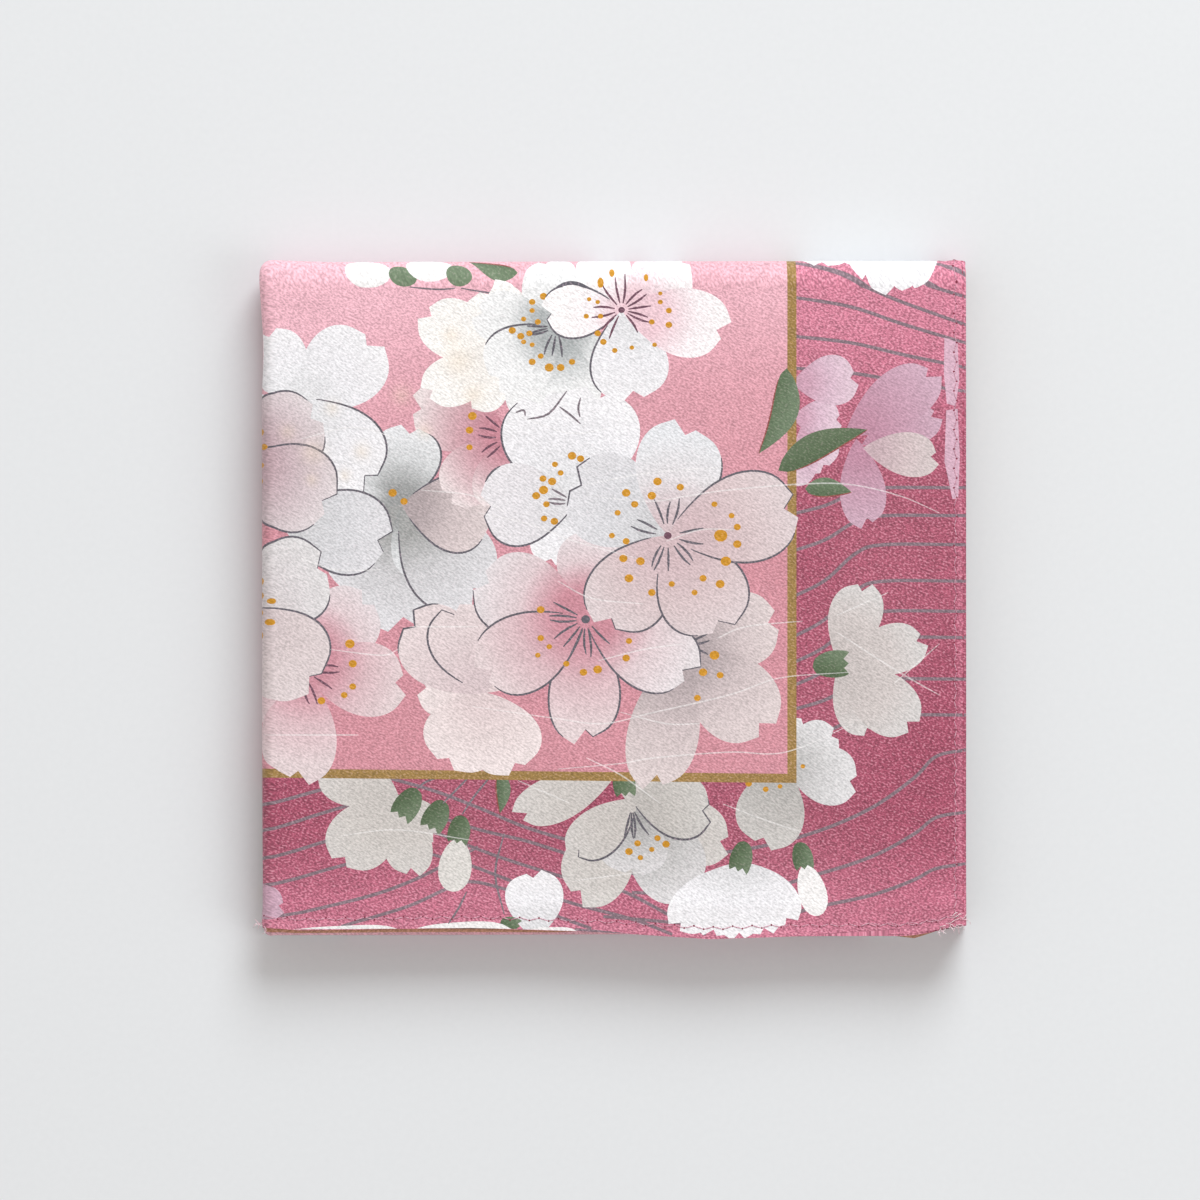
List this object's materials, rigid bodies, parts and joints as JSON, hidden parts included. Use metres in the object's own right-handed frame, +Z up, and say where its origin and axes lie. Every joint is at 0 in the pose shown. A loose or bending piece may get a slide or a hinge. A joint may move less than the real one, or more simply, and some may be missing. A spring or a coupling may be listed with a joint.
{
  "type": "folded handkerchief",
  "caption": "Square printed cotton handkerchief folded in half again and again into a flat, nearly square pack, with two folded edges and a hemmed corner on top.",
  "frame": {"origin": "centre of the pack's underside, on the surface that it lies on", "axes": "+Z up out of the top layer, +X towards the hemmed right edge, +Y towards the outermost folded edge"},
  "size_m": [0.1244, 0.1192, 0.01],
  "materials": {
    "printed_cotton": "soft figured cotton printed with blossom, matt with a faint sheen on its raised figuring"
  },
  "bodies": {
    "root": {"handkerchief": "printed_cotton"}
  },
  "joints": []
}
